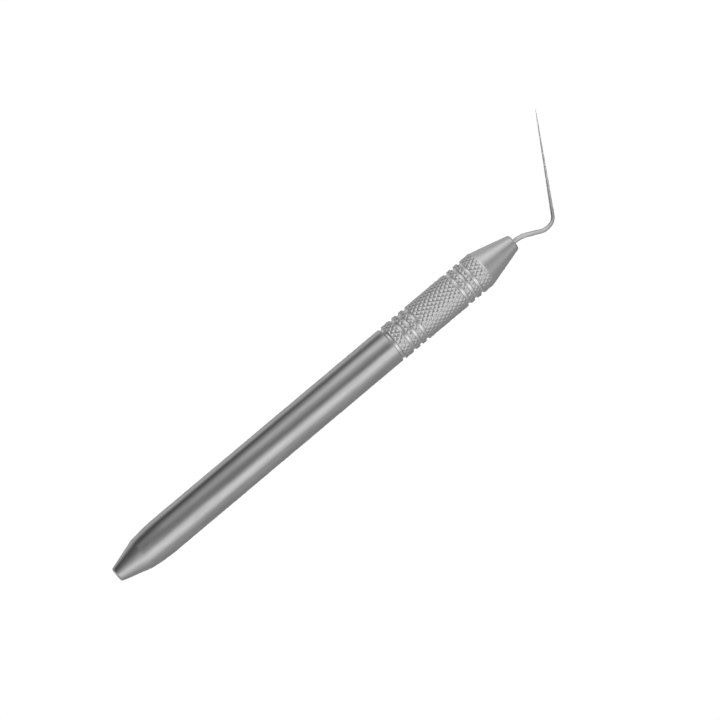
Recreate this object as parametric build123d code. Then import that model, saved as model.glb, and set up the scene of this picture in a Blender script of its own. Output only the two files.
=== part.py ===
from build123d import *

import os
from math import radians, tan

# Single-ended root canal spreader: a drawn hollow barrel with a swaged butt, a turned and
# knurled front grip pressed into it, and one bent, tapering wire held in a bush in the nose.
# Millimetres. The origin is the centre of the butt's end face. +X runs along the handle
# towards the nose, the working tip bends towards +Y, and +Z is up as the instrument lies.

# Rear barrel
BARREL_R = 4.75
BARREL_WALL = 0.7
BARREL_FRONT_X = 86.15
BARREL_CHAMFER = 0.25
BUTT_R = 1.85
BUTT_EDGE_R = 0.6
BUTT_HALF_ANGLE = 16.7
BUTT_CREASE_X = 7.8
BUTT_CREASE_R = 4.0
BUTT_SHOULDER_X = 15.2
BUTT_WALL_START_X = 3.2

# Plug that closes the swaged end
PLUG_R = 1.2
PLUG_LENGTH = 3.0
PLUG_CHAMFER = 0.2

# Front grip: bands and ring grooves
GRIP_R = 4.85
GRIP_START_X = 86.75
SHOULDER_R = 4.3
GROOVE_FLOOR_R = 4.4
GROOVE_TOP_WIDTH = 1.05
GROOVE_FLOOR_WIDTH = 0.6
GROOVE_PITCH = 2.05
GROOVES_PER_GROUP = 3
REAR_GROOVES_X = 89.8
FRONT_GROOVES_X = 107.15
CONE_START_X = 114.45
CONE_HALF_ANGLE = 14.9
NOSE_X = 125.0
NOSE_EDGE_R = 0.7

# Front grip: inside
SPIGOT_LENGTH = 8.0
SPIGOT_CHAMFER = 0.5
GRIP_BORE_R = 3.25
GRIP_BORE_END_X = 112.0
DRILL_HALF_ANGLE = 59.0

# Bush in the nose
BUSH_R = 1.25
BUSH_LENGTH = 12.0
BUSH_RECESS = 0.05
BUSH_CHAMFER = 0.15

# Working tip: one round wire that dips, levels out and turns up into a long tapered needle
WIRE_R = 0.6
LEVEL_WIRE_R = 0.54
NEEDLE_R = 0.46
POINT_R = 0.085
WIRE_ROOT_LENGTH = 11.0
ROOT_GROOVE_DEPTH = 0.12
ROOT_GROOVE_WIDTH = 0.6
ROOT_GROOVE_OFFSETS = (1.5, 3.5)
LEVEL_Y = -2.62
DIP_BEND = (NOSE_X + 2.0, 0.0)
LEVEL_BEND = (NOSE_X + 7.5, LEVEL_Y)
NEEDLE_BEND = (NOSE_X + 10.6, LEVEL_Y)
NEEDLE_END = (NOSE_X + 24.88, 21.05)
DIP_BEND_R = 7.5
LEVEL_BEND_R = 2.9
NEEDLE_BEND_R = 3.1

SPIGOT_R = BARREL_R - BARREL_WALL


def turned(points):
    """Solid of revolution about the handle axis from the corners of its half section."""
    return revolve(make_face(Polyline(*points, close=True)), Axis.X)


def rounded(section, corner, radius):
    """The section with the corner nearest the given point rounded to the radius."""
    return fillet(section.vertices().sort_by_distance((*corner, 0))[0], radius)


def butt_outline_r(x):
    """Outer radius of the straight part of the swaged cone at station x."""
    return BUTT_R + x * tan(radians(BUTT_HALF_ANGLE))


def rear_barrel():
    """Drawn tube, swaged down at the butt. Its inside follows the outside at the wall's depth."""
    crease = (BUTT_CREASE_X, butt_outline_r(BUTT_CREASE_X))
    shoulder = (BUTT_SHOULDER_X, BARREL_R)
    outside = Polyline((0, PLUG_R), (0, BUTT_R), crease)
    outside += TangentArc(shoulder, crease, tangent=(-1, 0), tangent_from_first=True)
    front = Polyline(
        shoulder,
        (BARREL_FRONT_X - BARREL_CHAMFER, BARREL_R),
        (BARREL_FRONT_X, BARREL_R - BARREL_CHAMFER),
        (BARREL_FRONT_X, SPIGOT_R),
        (BUTT_SHOULDER_X, SPIGOT_R),
    )
    inside_crease = (BUTT_CREASE_X, crease[1] - BARREL_WALL)
    inside = TangentArc(
        (BUTT_SHOULDER_X, SPIGOT_R), inside_crease, tangent=(-1, 0), tangent_from_first=True
    )
    inside += Polyline(
        inside_crease,
        (BUTT_WALL_START_X, butt_outline_r(BUTT_WALL_START_X) - BARREL_WALL),
        (BUTT_WALL_START_X, PLUG_R),
        (0, PLUG_R),
    )
    section = make_face(outside + front + inside)
    section = rounded(section, crease, BUTT_CREASE_R)
    section = rounded(section, (0, BUTT_R), BUTT_EDGE_R)
    return revolve(section, Axis.X)


def butt_plug():
    """Short pin pressed into the swaged end, flush with the end face, chamfered at both ends."""
    return turned(
        [
            (0, 0),
            (0, PLUG_R - PLUG_CHAMFER),
            (PLUG_CHAMFER, PLUG_R),
            (PLUG_LENGTH - PLUG_CHAMFER, PLUG_R),
            (PLUG_LENGTH, PLUG_R - PLUG_CHAMFER),
            (PLUG_LENGTH, 0),
        ]
    )


def groove_points(centre_x):
    """The four corners of one ring groove with slanted walls, from rear to front."""
    top = GROOVE_TOP_WIDTH / 2
    floor = GROOVE_FLOOR_WIDTH / 2
    return [
        (centre_x - top, GRIP_R),
        (centre_x - floor, GROOVE_FLOOR_R),
        (centre_x + floor, GROOVE_FLOOR_R),
        (centre_x + top, GRIP_R),
    ]


def grip_body():
    """Turned grip: spigot, shoulder, grooved bands and nose cone, drilled from both ends."""
    spigot_x = BARREL_FRONT_X - SPIGOT_LENGTH
    groove_wall = (GROOVE_TOP_WIDTH - GROOVE_FLOOR_WIDTH) / 2
    nose_r = GRIP_R - (NOSE_X - CONE_START_X) * tan(radians(CONE_HALF_ANGLE))
    drill_rise = 1 / tan(radians(DRILL_HALF_ANGLE))
    bush_meets_drill_x = GRIP_BORE_END_X + (GRIP_BORE_R - BUSH_R) * drill_rise
    points = [
        (spigot_x, GRIP_BORE_R),
        (spigot_x, SPIGOT_R - SPIGOT_CHAMFER),
        (spigot_x + SPIGOT_CHAMFER, SPIGOT_R),
        (BARREL_FRONT_X, SPIGOT_R),
        (BARREL_FRONT_X, SHOULDER_R),
        (GRIP_START_X, SHOULDER_R),
        (GRIP_START_X + groove_wall, GRIP_R),
    ]
    for group_x in (REAR_GROOVES_X, FRONT_GROOVES_X):
        for index in range(GROOVES_PER_GROUP):
            points += groove_points(group_x + index * GROOVE_PITCH)
    points += [
        (CONE_START_X, GRIP_R),
        (NOSE_X, nose_r),
        (NOSE_X, BUSH_R),
        (bush_meets_drill_x, BUSH_R),
        (GRIP_BORE_END_X, GRIP_BORE_R),
    ]
    section = make_face(Polyline(*points, close=True))
    return revolve(rounded(section, (NOSE_X, nose_r), NOSE_EDGE_R), Axis.X)


def tip_bush():
    """Sleeve that closes the nose bore down to the wire's size."""
    outer_x = NOSE_X - BUSH_RECESS
    inner_x = outer_x - BUSH_LENGTH
    return turned(
        [
            (inner_x, WIRE_R),
            (inner_x, BUSH_R - BUSH_CHAMFER),
            (inner_x + BUSH_CHAMFER, BUSH_R),
            (outer_x - BUSH_CHAMFER, BUSH_R),
            (outer_x, BUSH_R - BUSH_CHAMFER),
            (outer_x, WIRE_R),
        ]
    )


def wire_root(lead_length):
    """The wire's straight end: the root, with ring grooves for the braze, and the lead-out."""
    root_x = NOSE_X - WIRE_ROOT_LENGTH
    root = Pos(root_x, 0, 0) * Rot(0, 90, 0) * Cylinder(
        WIRE_R, WIRE_ROOT_LENGTH + lead_length, align=(Align.CENTER, Align.CENTER, Align.MIN)
    )
    collar = Cylinder(WIRE_R * 2, ROOT_GROOVE_WIDTH) - Cylinder(
        WIRE_R - ROOT_GROOVE_DEPTH, ROOT_GROOVE_WIDTH
    )
    for offset in ROOT_GROOVE_OFFSETS:
        root -= Pos(root_x + offset, 0, 0) * Rot(0, 90, 0) * collar
    return root


def tapered_run(edge, start_r, end_r):
    """Round run along a straight edge, narrowing from one radius to the other."""
    return Solid.make_cone(
        start_r, end_r, edge.length, Plane(origin=edge @ 0, z_dir=edge % 0)
    )


def bend(edge, wire_r):
    """Round wire of constant radius along an arc."""
    return sweep(Plane(origin=edge @ 0, z_dir=edge % 0) * Circle(wire_r), path=edge)


def working_tip():
    """One wire: root, lead-out, dip, level stretch and the long needle, with a bend between each."""
    corners = [(NOSE_X, 0.0), DIP_BEND, LEVEL_BEND, NEEDLE_BEND, NEEDLE_END]
    path = FilletPolyline(*corners, radius=[DIP_BEND_R, LEVEL_BEND_R, NEEDLE_BEND_R])
    lead, dip_arc, dip, level_arc, level, needle_arc, needle = path.edges().sort_by(path.wire())
    wire = wire_root(lead.length) + bend(dip_arc, WIRE_R)
    wire += tapered_run(dip, WIRE_R, LEVEL_WIRE_R)
    wire += bend(level_arc, LEVEL_WIRE_R)
    wire += tapered_run(level, LEVEL_WIRE_R, NEEDLE_R)
    wire += bend(needle_arc, NEEDLE_R)
    wire += tapered_run(needle, NEEDLE_R, POINT_R)
    wire += Pos(*NEEDLE_END, 0) * Sphere(POINT_R)
    return wire


PARTS = {
    "rear_barrel": rear_barrel,
    "butt_plug": butt_plug,
    "grip_body": grip_body,
    "tip_bush": tip_bush,
    "working_tip": working_tip,
}

os.makedirs("parts", exist_ok=True)
for name, make in PARTS.items():
    solid = make()
    export_step(solid, f"parts/{name}.step")
    print(name, "volume", round(solid.volume, 1), "mm3")
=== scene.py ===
import math

import bpy
import numpy as np
from mathutils import Matrix, Vector


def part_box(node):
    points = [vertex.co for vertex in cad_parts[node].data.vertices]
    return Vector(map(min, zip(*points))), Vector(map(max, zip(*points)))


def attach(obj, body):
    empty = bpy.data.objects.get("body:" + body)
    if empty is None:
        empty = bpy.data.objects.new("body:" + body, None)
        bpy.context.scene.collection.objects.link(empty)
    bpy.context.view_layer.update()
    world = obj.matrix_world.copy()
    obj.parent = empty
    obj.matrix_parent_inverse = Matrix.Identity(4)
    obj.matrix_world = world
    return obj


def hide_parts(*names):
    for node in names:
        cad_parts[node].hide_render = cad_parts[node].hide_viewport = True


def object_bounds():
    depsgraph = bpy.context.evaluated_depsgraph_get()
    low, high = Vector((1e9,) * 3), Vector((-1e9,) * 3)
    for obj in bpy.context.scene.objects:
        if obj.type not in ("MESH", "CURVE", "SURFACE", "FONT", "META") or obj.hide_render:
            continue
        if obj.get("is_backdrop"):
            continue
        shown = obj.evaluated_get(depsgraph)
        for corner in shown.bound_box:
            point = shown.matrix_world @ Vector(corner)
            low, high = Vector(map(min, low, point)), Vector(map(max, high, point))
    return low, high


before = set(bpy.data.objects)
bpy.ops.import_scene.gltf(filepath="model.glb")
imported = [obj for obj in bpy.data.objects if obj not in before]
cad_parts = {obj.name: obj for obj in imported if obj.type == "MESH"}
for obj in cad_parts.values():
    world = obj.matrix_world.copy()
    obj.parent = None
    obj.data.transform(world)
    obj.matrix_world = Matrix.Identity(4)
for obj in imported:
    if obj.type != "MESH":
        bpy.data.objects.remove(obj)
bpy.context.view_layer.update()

# Looks of the root canal spreader. Each piece is a fine mesh built in the CAD frame: worked out
# in millimetres and scaled to metres when it becomes an object. The handle lies along +X.

MM = 0.001
TURN = 2 * math.pi


def node_box(node):
    """Lowest and highest corners of a CAD node, in millimetres."""
    low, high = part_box(node)
    return low / MM, high / MM


# ---------------------------------------------------------------- sizes, in millimetres

plug_low, plug_high = node_box("butt_plug")
bush_low, bush_high = node_box("tip_bush")
grip_low, grip_high = node_box("grip_body")

BARREL_FRONT = node_box("rear_barrel")[1].x
BARREL_R = node_box("rear_barrel")[1].z
BARREL_BORE_R = BARREL_R - 0.7
BARREL_CHAMFER = 0.25
BARREL_SEGMENTS = 192
BUTT_R = 1.85
BUTT_SLOPE = math.tan(math.radians(16.7))
BUTT_CREASE = 7.8
BUTT_SHOULDER = 15.2
BUTT_WALL_START = 3.2
BUTT_EDGE_ROUND = 0.6
BUTT_CREASE_ROUND = 4.0

# Polishing facets: height, how many round the barrel, twist along it in radians per millimetre
# and offset in radians.
FACETS = ((0.004, 9, 0.06, 0.0), (0.002, 17, -0.11, 1.3))
FACET_DEPTH = 0.006

GRIP_R = grip_high.z
NOSE = grip_high.x
SPIGOT_END = grip_low.x
SPIGOT_CHAMFER = 0.5
GRIP_START = BARREL_FRONT + 0.6
SHOULDER_R = 4.3
GROOVE_FLOOR_R = 4.4
GROOVE_TOP = 1.05
GROOVE_FLOOR = 0.6
GROOVE_PITCH = 2.05
GROOVES_PER_GROUP = 3
GROOVE_GROUPS = (BARREL_FRONT + 3.65, BARREL_FRONT + 21.0)
GROOVE_EDGE_ROUND = 0.12
GROOVE_FLOOR_ROUND = 0.08
CONE_START = NOSE - 10.55
CONE_SLOPE = math.tan(math.radians(14.9))
CONE_EDGE_ROUND = 0.5
NOSE_R = GRIP_R - (NOSE - CONE_START) * CONE_SLOPE
NOSE_EDGE_ROUND = 0.7
GRIP_BORE_R = 3.25
GRIP_BORE_END = NOSE - 13.0
DRILL_POINT = 1.2

KNURL_STARTS = 26
KNURL_PITCH = 1.69
KNURL_DEPTH = 0.12
KNURL_FLAT = 0.35
KNURL_SAMPLES = 12

PLUG_CHAMFER = 0.2
BUSH_CHAMFER = 0.15
SMALL_TURNED_SEGMENTS = 64

WIRE_R = 0.6
LEVEL_WIRE_R = 0.54
NEEDLE_R = 0.46
POINT_R = 0.085
LEVEL_Y = -2.62
WIRE_ROOT = (node_box("working_tip")[0].x, 0.0)
DIP_BEND = (NOSE + 2.0, 0.0, 7.5)
LEVEL_BEND = (NOSE + 7.5, LEVEL_Y, 2.9)
NEEDLE_BEND = (NOSE + 10.6, LEVEL_Y, 3.1)
NEEDLE_END = (NOSE + 24.88, 21.05)
WIRE_SEGMENTS = 40


# ---------------------------------------------------------------- outlines

ARC_STEP = math.radians(11)


def rounded_corner(before, corner, after, rounding, step=ARC_STEP):
    """Points along the arc that rounds one corner of a polyline."""
    back = np.array(before, float) - corner
    ahead = np.array(after, float) - corner
    back /= np.linalg.norm(back)
    ahead /= np.linalg.norm(ahead)
    half = math.acos(np.clip(back @ ahead, -1, 1)) / 2
    inward = (back + ahead) / np.linalg.norm(back + ahead)
    centre = corner + inward * rounding / math.sin(half)
    start = corner + back * rounding / math.tan(half) - centre
    turn = math.pi - 2 * half
    if start[0] * ahead[1] - start[1] * ahead[0] < 0:
        turn = -turn
    steps = max(2, math.ceil(abs(turn) / step))
    points = []
    for angle in np.linspace(0, turn, steps + 1):
        cos, sin = math.cos(angle), math.sin(angle)
        points.append(centre + np.array([[cos, -sin], [sin, cos]]) @ start)
    return points


def divided(points, longest, closed):
    """The outline with each run cut into pieces no longer than longest(middle of the run)."""
    ends = points[1:] + (points[:1] if closed else [])
    result = []
    for start, end in zip(points, ends):
        length = np.linalg.norm(end - start)
        pieces = max(1, math.ceil(length / longest((start + end) / 2) - 1e-6))
        result += [start + (end - start) * piece / pieces for piece in range(pieces)]
    return np.array(result if closed else result + [points[-1]])


def outline(corners, longest, closed=True):
    """Outline through corners (x, r) or (x, r, rounding). A closed one goes round the material."""
    places = [np.array(corner[:2], float) for corner in corners]
    points = []
    for index, corner in enumerate(corners):
        if len(corner) == 2:
            points.append(places[index])
        else:
            after = places[(index + 1) % len(corners)]
            points += rounded_corner(places[index - 1], places[index], after, corner[2])
    return divided(points, longest, closed)


# ---------------------------------------------------------------- meshes

def make_mesh(name, rings, ends="joined", attributes=None):
    """An object with a smooth skin through rings of vertices.

    ends: "joined" runs on from the last ring to the first, "capped" and "open" don't.
    """
    count, segments = rings.shape[:2]
    faces = []
    for ring in range(count if ends == "joined" else count - 1):
        here = ring * segments
        there = (ring + 1) % count * segments
        for spoke in range(segments):
            turn = (spoke + 1) % segments
            faces.append((here + spoke, there + spoke, there + turn, here + turn))
    if ends == "capped":
        faces.append(tuple(range(segments)))
        faces.append(tuple(reversed(range((count - 1) * segments, count * segments))))
    mesh = bpy.data.meshes.new(name)
    mesh.from_pydata((rings.reshape(-1, 3) * MM).tolist(), [], faces)
    for key, values in (attributes or {}).items():
        layer = mesh.attributes.new(key, "FLOAT", "POINT")
        layer.data.foreach_set("value", np.asarray(values, np.float32).ravel())
    mesh.shade_smooth()
    mesh.set_sharp_from_angle(angle=math.radians(50))
    made = bpy.data.objects.new(name, mesh)
    bpy.context.scene.collection.objects.link(made)
    return made


def stands_for(piece, node):
    """Fixes a piece to the root body, in place of a CAD node."""
    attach(piece, "root")
    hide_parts(node)
    return piece


def turned(section, segments, shape=None):
    """Rings of the half section spun about the handle axis. shape may change the radii."""
    angle = np.linspace(0, TURN, segments, endpoint=False)[None, :]
    station = section[:, :1] + 0 * angle
    radius = section[:, 1:] + 0 * angle
    if shape:
        radius = shape(station, radius, angle)
    return np.stack([station, radius * np.cos(angle), radius * np.sin(angle)], axis=-1)


# ---------------------------------------------------------------- pieces

def make_barrel():
    """Drawn tube with its swaged butt. Belt polishing leaves very shallow facets along it."""
    crease_r = BUTT_R + BUTT_CREASE * BUTT_SLOPE
    swell_rise = BARREL_R - crease_r
    swell_run = BUTT_SHOULDER - BUTT_CREASE
    swell_r = (swell_run**2 + swell_rise**2) / (2 * swell_rise)
    section = outline(
        [
            (0, plug_high.z),
            (0, BUTT_R, BUTT_EDGE_ROUND),
            (BUTT_CREASE, crease_r, BUTT_CREASE_ROUND),
            (BUTT_SHOULDER - swell_r * swell_rise / swell_run, BARREL_R, swell_r * 0.9),
            (BARREL_FRONT - BARREL_CHAMFER, BARREL_R, 0.1),
            (BARREL_FRONT, BARREL_R - BARREL_CHAMFER, 0.06),
            (BARREL_FRONT, BARREL_BORE_R),
            (BUTT_SHOULDER, BARREL_BORE_R),
            (BUTT_CREASE, BARREL_BORE_R - 0.6),
            (BUTT_WALL_START, BUTT_R),
            (BUTT_WALL_START, plug_high.z),
        ],
        lambda middle: 1.2,
    )

    def faceted(station, radius, angle):
        ripple = 0
        for height, count, twist, offset in FACETS:
            ripple = ripple + height * np.sin(count * angle + twist * station + offset)
        outside = (radius > BARREL_BORE_R + 0.05) & (station > BUTT_SHOULDER)
        return radius + np.where(outside, ripple - FACET_DEPTH, 0)

    tube = make_mesh("barrel_tube", turned(section, BARREL_SEGMENTS, faceted))
    return stands_for(tube, "rear_barrel")


def groove(centre):
    """Corners of one ring groove: slanted walls, flat floor, edges softened by the knurling."""
    top = GROOVE_TOP / 2
    floor = GROOVE_FLOOR / 2
    return [
        (centre - top, GRIP_R, GROOVE_EDGE_ROUND),
        (centre - floor, GROOVE_FLOOR_R, GROOVE_FLOOR_ROUND),
        (centre + floor, GROOVE_FLOOR_R, GROOVE_FLOOR_ROUND),
        (centre + top, GRIP_R, GROOVE_EDGE_ROUND),
    ]


def knurl_cut(station, angle):
    """0 on the diamonds' flat tops, 1 at the bottom of the crossed V cuts."""
    around = KNURL_STARTS * angle / TURN
    along = station / KNURL_PITCH
    cuts = []
    for cut in (around + along, around - along):
        slope = np.abs(2 * (cut % 1) - 1) - KNURL_FLAT
        cuts.append(np.clip(slope / (1 - KNURL_FLAT), 0, 1))
    return np.maximum(*cuts)


def make_grip():
    """Turned grip with its grooved, diamond-knurled bands and plain nose cone."""
    corners = [
        (SPIGOT_END, GRIP_BORE_R),
        (SPIGOT_END, BARREL_BORE_R - SPIGOT_CHAMFER),
        (SPIGOT_END + SPIGOT_CHAMFER, BARREL_BORE_R),
        (BARREL_FRONT, BARREL_BORE_R),
        (BARREL_FRONT, SHOULDER_R),
        (GRIP_START, SHOULDER_R, GROOVE_FLOOR_ROUND),
        (GRIP_START + (GROOVE_TOP - GROOVE_FLOOR) / 2, GRIP_R, GROOVE_EDGE_ROUND),
    ]
    for group in GROOVE_GROUPS:
        for index in range(GROOVES_PER_GROUP):
            corners += groove(group + index * GROOVE_PITCH)
    corners += [
        (CONE_START, GRIP_R, CONE_EDGE_ROUND),
        (NOSE, NOSE_R, NOSE_EDGE_ROUND),
        (NOSE, bush_high.z),
        (GRIP_BORE_END + DRILL_POINT, bush_high.z),
        (GRIP_BORE_END, GRIP_BORE_R),
    ]
    knurl_end = CONE_START + KNURL_DEPTH / CONE_SLOPE

    def longest(middle):
        """Steps along the outline: coarse inside, fine over the knurl, medium on the cone."""
        if middle[1] < SHOULDER_R and middle[0] < knurl_end:
            return 2.0
        return KNURL_PITCH / (KNURL_SAMPLES + 1) if middle[0] < knurl_end + 0.6 else 0.5

    section = outline(corners, longest)

    def knurled(station, radius, angle):
        outside = (radius > SHOULDER_R + 0.1) & (station > GRIP_START)
        cut = GRIP_R - KNURL_DEPTH * knurl_cut(station, angle)
        return np.where(outside, np.minimum(radius, cut), radius)

    rings = turned(section, KNURL_STARTS * KNURL_SAMPLES, knurled)
    below = (GRIP_R - np.hypot(rings[..., 1], rings[..., 2])) / KNURL_DEPTH
    banded = rings[..., 0] < knurl_end
    # Masks for painted light: painted shade by depth in the knurl cuts, and a painted highlight on
    # the ring grooves below the knurl.
    finish = {
        "cut_depth": np.where(banded, np.clip(below, 0, 1), 0),
        "painted_groove_highlight": np.where(banded, np.clip(below - 1, 0, 1), 0),
    }
    grip = make_mesh("knurled_grip", rings, attributes=finish)
    return stands_for(grip, "grip_body")


def make_plug():
    """Pressed pin. Its chamfered rim leaves a fine ring on the butt's end face."""
    section = outline(
        [
            (plug_low.x, 0.05),
            (plug_low.x, plug_high.z - PLUG_CHAMFER, 0.05),
            (plug_low.x + PLUG_CHAMFER, plug_high.z, 0.05),
            (plug_high.x - PLUG_CHAMFER, plug_high.z, 0.05),
            (plug_high.x, plug_high.z - PLUG_CHAMFER, 0.05),
            (plug_high.x, 0.05),
        ],
        lambda middle: 0.3,
        closed=False,
    )
    plug = make_mesh("end_plug", turned(section, SMALL_TURNED_SEGMENTS), "capped")
    return stands_for(plug, "butt_plug")


def make_bush():
    """Sleeve round the wire's root, its rim chamfered at both ends."""
    section = outline(
        [
            (bush_low.x, WIRE_R),
            (bush_low.x, bush_high.z - BUSH_CHAMFER, 0.04),
            (bush_low.x + BUSH_CHAMFER, bush_high.z, 0.04),
            (bush_high.x - BUSH_CHAMFER, bush_high.z, 0.04),
            (bush_high.x, bush_high.z - BUSH_CHAMFER, 0.04),
            (bush_high.x, WIRE_R),
        ],
        lambda middle: 1.0,
    )
    bush = make_mesh("nose_bush", turned(section, SMALL_TURNED_SEGMENTS))
    return stands_for(bush, "tip_bush")


def wire_path():
    """Centreline of the wire in the XY plane, its bends rounded."""
    corners = [WIRE_ROOT, DIP_BEND, LEVEL_BEND, NEEDLE_BEND, NEEDLE_END]
    places = [np.array(corner[:2]) for corner in corners]
    points = [places[0]]
    for index in range(1, len(corners) - 1):
        points += rounded_corner(*places[index - 1 : index + 2], corners[index][2], math.radians(4))
    points.append(places[-1])
    return divided(points, lambda middle: 0.5, False)


def make_tip():
    """The wire: full size at the nose, thinner along the level, the needle drawn out to a point."""
    path = wire_path()
    ahead = np.gradient(path, axis=0)
    ahead /= np.linalg.norm(ahead, axis=1)[:, None]
    steps = np.linalg.norm(np.diff(path, axis=0), axis=1)
    run = np.concatenate([[0], np.cumsum(steps)])

    def run_to(corner):
        return run[np.argmin(np.linalg.norm(path - corner[:2], axis=1))]

    stations = [run_to(DIP_BEND), run_to(LEVEL_BEND), run_to(NEEDLE_BEND), run[-1]]
    radius = np.interp(run, stations, [WIRE_R, LEVEL_WIRE_R, NEEDLE_R, POINT_R])
    cap = np.radians([22, 45, 67, 85])
    path = np.concatenate([path, path[-1] + ahead[-1] * POINT_R * np.sin(cap)[:, None]])
    ahead = np.concatenate([ahead, np.repeat(ahead[-1:], len(cap), axis=0)])
    radius = np.concatenate([radius, POINT_R * np.cos(cap)])

    angle = np.linspace(0, TURN, WIRE_SEGMENTS, endpoint=False)
    side = np.stack([-ahead[:, 1], ahead[:, 0]], axis=1)
    out = radius[:, None] * np.cos(angle)
    rings = np.empty((len(path), len(angle), 3))
    rings[..., :2] = path[:, None, :] + side[:, None, :] * out[..., None]
    rings[..., 2] = radius[:, None] * np.sin(angle)
    return stands_for(make_mesh("bent_needle", rings, "capped"), "working_tip")


# ---------------------------------------------------------------- materials

class Shader:
    """A node material under construction."""

    def __init__(self, name):
        self.material = bpy.data.materials.new(name)
        self.material.use_nodes = True
        self.tree = self.material.node_tree
        self.surface = self.tree.nodes["Principled BSDF"]

    def node(self, kind, inputs=None, **settings):
        """A node with its settings and its inputs, which are values or other nodes' outputs."""
        made = self.tree.nodes.new(kind)
        for key, value in settings.items():
            setattr(made, key, value)
        for key, value in (inputs or {}).items():
            if isinstance(value, bpy.types.NodeSocket):
                self.tree.links.new(value, made.inputs[key])
            else:
                made.inputs[key].default_value = value
        return made

    def connect(self, output, name):
        """Feeds one of the surface's inputs."""
        self.tree.links.new(output, self.surface.inputs[name])

    def noise(self, stretch, detail=3.0, seed=0.0):
        """Noise in the part's own frame. stretch is its cycles per millimetre along X, Y, Z."""
        place = self.node("ShaderNodeTexCoord").outputs["Object"]
        scaled = self.node(
            "ShaderNodeMapping",
            {"Vector": place, "Location": (seed, 0, 0), "Scale": [cycles / MM for cycles in stretch]},
        )
        return self.node(
            "ShaderNodeTexNoise",
            {"Vector": scaled.outputs["Vector"], "Scale": 1.0, "Detail": detail},
        ).outputs["Fac"]

    def spread(self, value, low, high, start=0.3, end=0.7):
        """value from start to end, as low to high."""
        return self.node(
            "ShaderNodeMapRange",
            {"Value": value, "From Min": start, "From Max": end, "To Min": low, "To Max": high},
        ).outputs["Result"]

    def ramp(self, value, stops):
        """Brightness by listed stops (place from 0 to 1, brightness)."""
        made = self.node("ShaderNodeValToRGB", {"Fac": value})
        elements = made.color_ramp.elements
        elements[0].position = stops[0][0]
        elements[1].position = stops[-1][0]
        for place, _ in stops[1:-1]:
            elements.new(place)
        for element, (_, level) in zip(elements, stops):
            element.color = (level, level, level, 1)
        return made.outputs["Color"]

    def math(self, operation, first, second):
        """One arithmetic step."""
        return self.node("ShaderNodeMath", {0: first, 1: second}, operation=operation).outputs[0]

    def grey(self, value):
        """A neutral colour of that brightness."""
        return self.node(
            "ShaderNodeCombineColor", {"Red": value, "Green": value, "Blue": value}
        ).outputs["Color"]

    def bump(self, height, distance, strength=1.0):
        """Relief of that many millimetres."""
        made = self.node(
            "ShaderNodeBump", {"Height": height, "Distance": distance * MM, "Strength": strength}
        )
        self.connect(made.outputs["Normal"], "Normal")

    def wear(self, piece, slot):
        """Puts the finished material on a piece; slot is not used."""
        piece.data.materials.clear()
        piece.data.materials.append(self.material)


def scratched_steel(name, roughness, anisotropy, stretch, relief):
    """Bare steel with fine scratches. Returns it and the scratches' strength, without a colour."""
    steel = Shader(name)
    steel.surface.inputs["Metallic"].default_value = 1.0
    steel.surface.inputs["Anisotropic"].default_value = anisotropy
    tangent = steel.node("ShaderNodeTangent", direction_type="RADIAL", axis="X")
    steel.connect(tangent.outputs["Tangent"], "Tangent")
    fine = steel.noise(stretch, detail=5.0)
    broad = steel.noise([cycles / 7 for cycles in stretch], detail=2.0, seed=3.0)
    both = steel.math("ADD", steel.math("MULTIPLY", fine, 0.6), steel.math("MULTIPLY", broad, 0.4))
    steel.connect(steel.spread(both, *roughness), "Roughness")
    steel.bump(fine, relief)
    return steel, both


def brushed_steel(name, colour, mottle=0.0, **finish):
    """Scratched steel whose tone follows the scratches and, with mottle, an uneven polish."""
    steel, scratches = scratched_steel(name, **finish)
    tone = steel.spread(scratches, *colour)
    if mottle:
        polish = steel.noise((0.12, 0.5, 0.5), detail=4.0, seed=11.0)
        tone = steel.math("MULTIPLY", tone, steel.spread(polish, 1 - mottle, 1 + mottle))
    steel.connect(steel.grey(tone), "Base Color")
    return steel


def needle_steel():
    """Drawn wire, ground and polished brighter along the needle."""
    steel, _ = scratched_steel(
        "tip_steel", roughness=(0.22, 0.3), anisotropy=0.2, stretch=(3, 3, 3), relief=0.002
    )
    place = steel.node("ShaderNodeTexCoord").outputs["Object"]
    along = steel.node("ShaderNodeSeparateXYZ", {"Vector": place}).outputs["Y"]
    polish = steel.spread(along, 0.0, 0.26, -2.0 * MM, 6.0 * MM)
    speckle = steel.spread(steel.noise((3, 3, 3), detail=4.0, seed=5.0), 0.52, 0.6)
    steel.connect(steel.grey(steel.math("ADD", speckle, polish)), "Base Color")
    return steel


def knurled_steel():
    """Turned and knurled steel, with painted shade darkening the knurl cuts by their depth and a
    painted highlight lightening the ring grooves.
    """
    steel, _ = scratched_steel(
        "knurled_steel", roughness=(0.28, 0.22), anisotropy=0.3, stretch=(0.5, 9, 9), relief=0.003
    )
    cut_shade = steel.node("ShaderNodeAttribute", attribute_name="cut_depth").outputs["Fac"]
    groove_highlight = steel.node("ShaderNodeAttribute", attribute_name="painted_groove_highlight").outputs["Fac"]
    speckle = steel.spread(steel.noise((6, 6, 6), detail=4.0, seed=7.0), 0.62, 0.72)
    # Painted shade: the base colour darkens with the depth of the knurl cuts.
    cut = steel.math("SUBTRACT", speckle, steel.math("MULTIPLY", cut_shade, 0.05))
    # Painted highlight: the ring grooves' base colour is lighter, standing in for the bright lines
    # they show.
    tone = steel.math("ADD", cut, steel.math("MULTIPLY", groove_highlight, 0.2))
    steel.connect(steel.grey(tone), "Base Color")
    return steel


# ---------------------------------------------------------------- stage, light and camera

# Lens in millimetres, distance and aim in millimetres, lean towards the butt and turn in degrees.
LENS = 250
SENSOR = 36
CAMERA_DISTANCE = 1202.5
CAMERA_AIM = (78.0, 2.0, 0.0)
CAMERA_LEAN = -6.0
CAMERA_ROLL = -40.02

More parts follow.
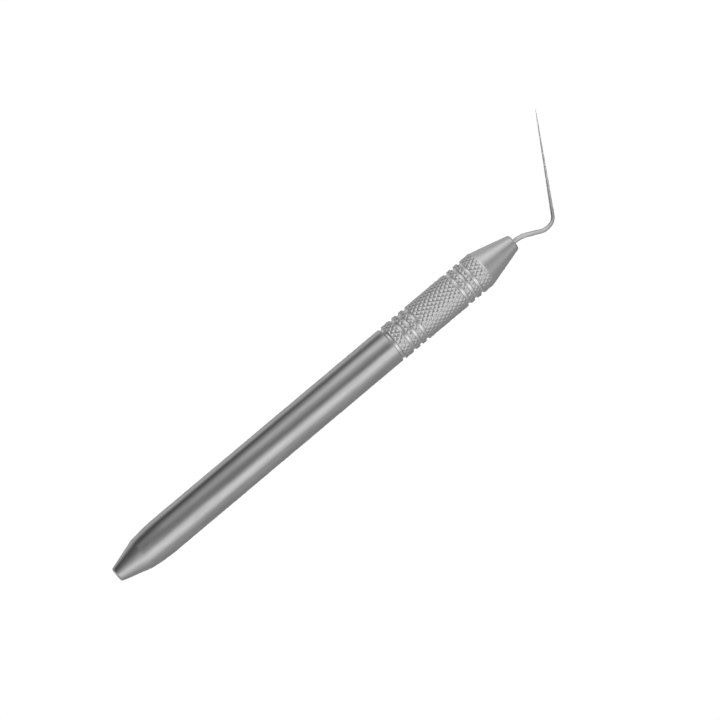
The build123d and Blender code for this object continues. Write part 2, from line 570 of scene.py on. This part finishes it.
# The light tent is a cylinder round the handle that only the steel mirrors. Its brightness is
# given at a few stations along X, in millimetres, by the bearing: degrees from straight up
# towards +Y. Between them it blends.
TENT_R = 250.0
TENT_ENDS = (-450.0, 900.0)
OVER_THE_BUTT = (
    (-180, 0.5), (-120, 0.36), (-95, 0.42), (-65, 0.7), (-45, 0.9), (-28, 0.9), (-5, 0.62),
    (10, 0.42), (30, 0.25), (50, 0.12), (75, 0.1), (95, 0.12), (115, 0.35), (140, 0.7),
    (180, 0.5),
)
OVER_THE_BARREL = (
    (-180, 0.33), (-130, 0.3), (-100, 0.35), (-75, 0.43), (-60, 0.73), (-48, 0.97), (-27, 0.95),
    (-16, 0.68), (-6, 0.36), (5, 0.24), (25, 0.23), (42, 0.36), (52, 0.36), (68, 0.16), (90, 0.04),
    (102, 0.23), (118, 0.6), (180, 0.35),
)
OVER_THE_FRONT = (
    (-180, 0.33), (-130, 0.3), (-100, 0.35), (-75, 0.41), (-60, 0.72), (-48, 0.97), (-25, 0.98),
    (-14, 0.5), (-5, 0.14), (8, 0.14), (20, 0.36), (40, 0.86), (52, 0.96), (66, 0.56), (82, 0.19),
    (92, 0.08), (103, 0.27), (118, 0.6), (180, 0.35),
)
OVER_THE_GRIP = (
    (-180, 0.35), (-130, 0.33), (-100, 0.4), (-75, 0.5), (-60, 0.76), (-48, 1.0), (-25, 1.0),
    (-12, 0.6), (0, 0.4), (12, 0.42), (24, 0.6), (40, 0.8), (52, 0.84), (66, 0.62), (82, 0.46),
    (100, 0.45), (118, 0.6), (180, 0.35),
)
AHEAD_OF_THE_GRIP = (
    (-180, 0.4), (-130, 0.32), (-100, 0.36), (-70, 0.45), (-42, 0.5), (-22, 1.15), (8, 1.35),
    (32, 1.3), (55, 0.95), (72, 0.85), (88, 0.62), (105, 0.52), (130, 0.55), (180, 0.4),
)
OVER_THE_NOSE = (
    (-180, 0.35), (-130, 0.28), (-86, 0.34), (-69, 0.47), (-54, 0.54), (-40, 0.49), (-26, 0.42),
    (-6, 0.32), (6, 0.36), (26, 0.64), (40, 0.8), (54, 0.9), (69, 0.78), (86, 0.54),
    (105, 0.45), (180, 0.35),
)
LIGHT_PLAN = (
    (-140, OVER_THE_BUTT),
    (25, OVER_THE_BARREL),
    (120, OVER_THE_FRONT),
    (136, OVER_THE_GRIP),
    (165, OVER_THE_GRIP),
    (212, AHEAD_OF_THE_GRIP),
    (238, AHEAD_OF_THE_GRIP),
    (265, OVER_THE_NOSE),
)


def make_tent():
    """The light tent, unseen by the camera and the table."""
    wall = turned(np.array([[end, TENT_R] for end in TENT_ENDS]), 96)
    tent = make_mesh("light_tent", wall, "open")
    tent.visible_camera = False
    tent.visible_diffuse = False
    tent.visible_shadow = False
    tent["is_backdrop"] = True
    glow = Shader("light_tent")
    place = glow.node("ShaderNodeTexCoord").outputs["Object"]
    x, y, z = glow.node("ShaderNodeSeparateXYZ", {"Vector": place}).outputs
    bearing = glow.spread(glow.math("ARCTAN2", y, z), 0, 1, -math.pi, math.pi)
    brightness = None
    for station, (along, stops) in enumerate(LIGHT_PLAN):
        here = glow.ramp(bearing, [(degrees / 360 + 0.5, level) for degrees, level in stops])
        if brightness is None:
            brightness = here
        else:
            before = LIGHT_PLAN[station - 1][0]
            share = glow.spread(x, 0, 1, before * MM, along * MM)
            brightness = glow.node(
                "ShaderNodeMix", {"Factor": share, "A": brightness, "B": here}, data_type="FLOAT"
            ).outputs["Result"]
    lamp = glow.node("ShaderNodeEmission", {"Strength": brightness})
    glow.tree.links.new(lamp.outputs[0], glow.tree.nodes["Material Output"].inputs["Surface"])
    tent.data.materials.append(glow.material)


def make_world():
    """Plain white surround. The steel mirrors a grey one past the ends of the light tent."""
    world = bpy.data.worlds.new("studio")
    bpy.context.scene.world = world
    world.use_nodes = True
    tree = world.node_tree
    surround = tree.nodes["Background"]
    surround.inputs["Color"].default_value = (1, 1, 1, 1)
    mirrored = tree.nodes.new("ShaderNodeBackground")
    mirrored.inputs["Color"].default_value = (0.5, 0.5, 0.5, 1)
    seen = tree.nodes.new("ShaderNodeLightPath")
    mixed = tree.nodes.new("ShaderNodeMixShader")
    tree.links.new(seen.outputs["Is Camera Ray"], mixed.inputs[0])
    tree.links.new(mirrored.outputs[0], mixed.inputs[1])
    tree.links.new(surround.outputs[0], mixed.inputs[2])
    tree.links.new(mixed.outputs[0], tree.nodes["World Output"].inputs["Surface"])
    world.cycles_visibility.diffuse = False


def make_table():
    """Plain pale table that the handle lies on. The steel mirrors the tent instead of it."""
    reach = 3.0
    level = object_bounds()[0].z
    sides = [(-reach, -reach), (reach, -reach), (reach, reach), (-reach, reach)]
    mesh = bpy.data.meshes.new("table_top")
    mesh.from_pydata([(x, y, level) for x, y in sides], [], [(0, 1, 2, 3)])
    table = bpy.data.objects.new("table_top", mesh)
    bpy.context.scene.collection.objects.link(table)
    table.visible_glossy = False
    table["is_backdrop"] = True
    paper = Shader("white_paper")
    paper.surface.inputs["Roughness"].default_value = 0.9
    paper.surface.inputs["Specular IOR Level"].default_value = 0.0
    fibre = paper.noise((0.2, 0.2, 0.2), detail=4.0)
    paper.connect(paper.grey(paper.spread(fibre, 0.905, 0.915)), "Base Color")
    mesh.materials.append(paper.material)


def make_light(name, energy, lean, spread, shadow):
    """Overhead light on the table alone, with its lean from the vertical and spread in degrees."""
    lamp = bpy.data.lights.new(name, "SUN")
    lamp.energy = energy
    lamp.angle = math.radians(spread)
    lamp.use_shadow = shadow
    light = bpy.data.objects.new(name, lamp)
    light.rotation_euler = (math.radians(lean), 0, 0)
    light.visible_glossy = False
    bpy.context.scene.collection.objects.link(light)


def make_camera():
    """A long lens overhead that leans towards the butt, turned so that the handle rises."""
    lean = Matrix.Rotation(math.radians(CAMERA_LEAN), 4, "Y")
    roll = Matrix.Rotation(math.radians(CAMERA_ROLL), 4, "Z")
    lens = bpy.data.cameras.new("camera")
    lens.lens = LENS
    lens.sensor_width = SENSOR
    camera = bpy.data.objects.new("camera", lens)
    back = lean @ Vector((0, 0, CAMERA_DISTANCE * MM))
    place = Matrix.Translation(Vector(CAMERA_AIM) * MM + back)
    camera.matrix_world = place @ lean @ roll
    bpy.context.scene.collection.objects.link(camera)
    bpy.context.scene.camera = camera


# ---------------------------------------------------------------- scene

barrel = make_barrel()
grip = make_grip()
plug = make_plug()
bush = make_bush()
tip = make_tip()

barrel_steel = brushed_steel(
    "barrel_steel",
    colour=(0.57, 0.63),
    mottle=0.07,
    roughness=(0.2, 0.26),
    anisotropy=0.55,
    stretch=(0.03, 7, 7),
    relief=0.0012,
)
plug_steel = brushed_steel(
    "plug_steel",
    colour=(0.5, 0.6),
    roughness=(0.3, 0.38),
    anisotropy=0.3,
    stretch=(5, 5, 5),
    relief=0.002,
)
bush_steel = brushed_steel(
    "bush_steel",
    colour=(0.48, 0.56),
    roughness=(0.28, 0.36),
    anisotropy=0.3,
    stretch=(5, 5, 5),
    relief=0.002,
)
barrel_steel.wear(barrel, "barrel_steel")
knurled_steel().wear(grip, "grip_steel")
plug_steel.wear(plug, "plug_steel")
bush_steel.wear(bush, "bush_steel")
needle_steel().wear(tip, "tip_steel")

make_camera()
make_world()
make_tent()
make_table()
make_light("table_fill", energy=3.05, lean=0, spread=5, shadow=False)
make_light("overhead", energy=0.45, lean=-14, spread=100, shadow=True)
bpy.context.scene.view_settings.view_transform = "Standard"
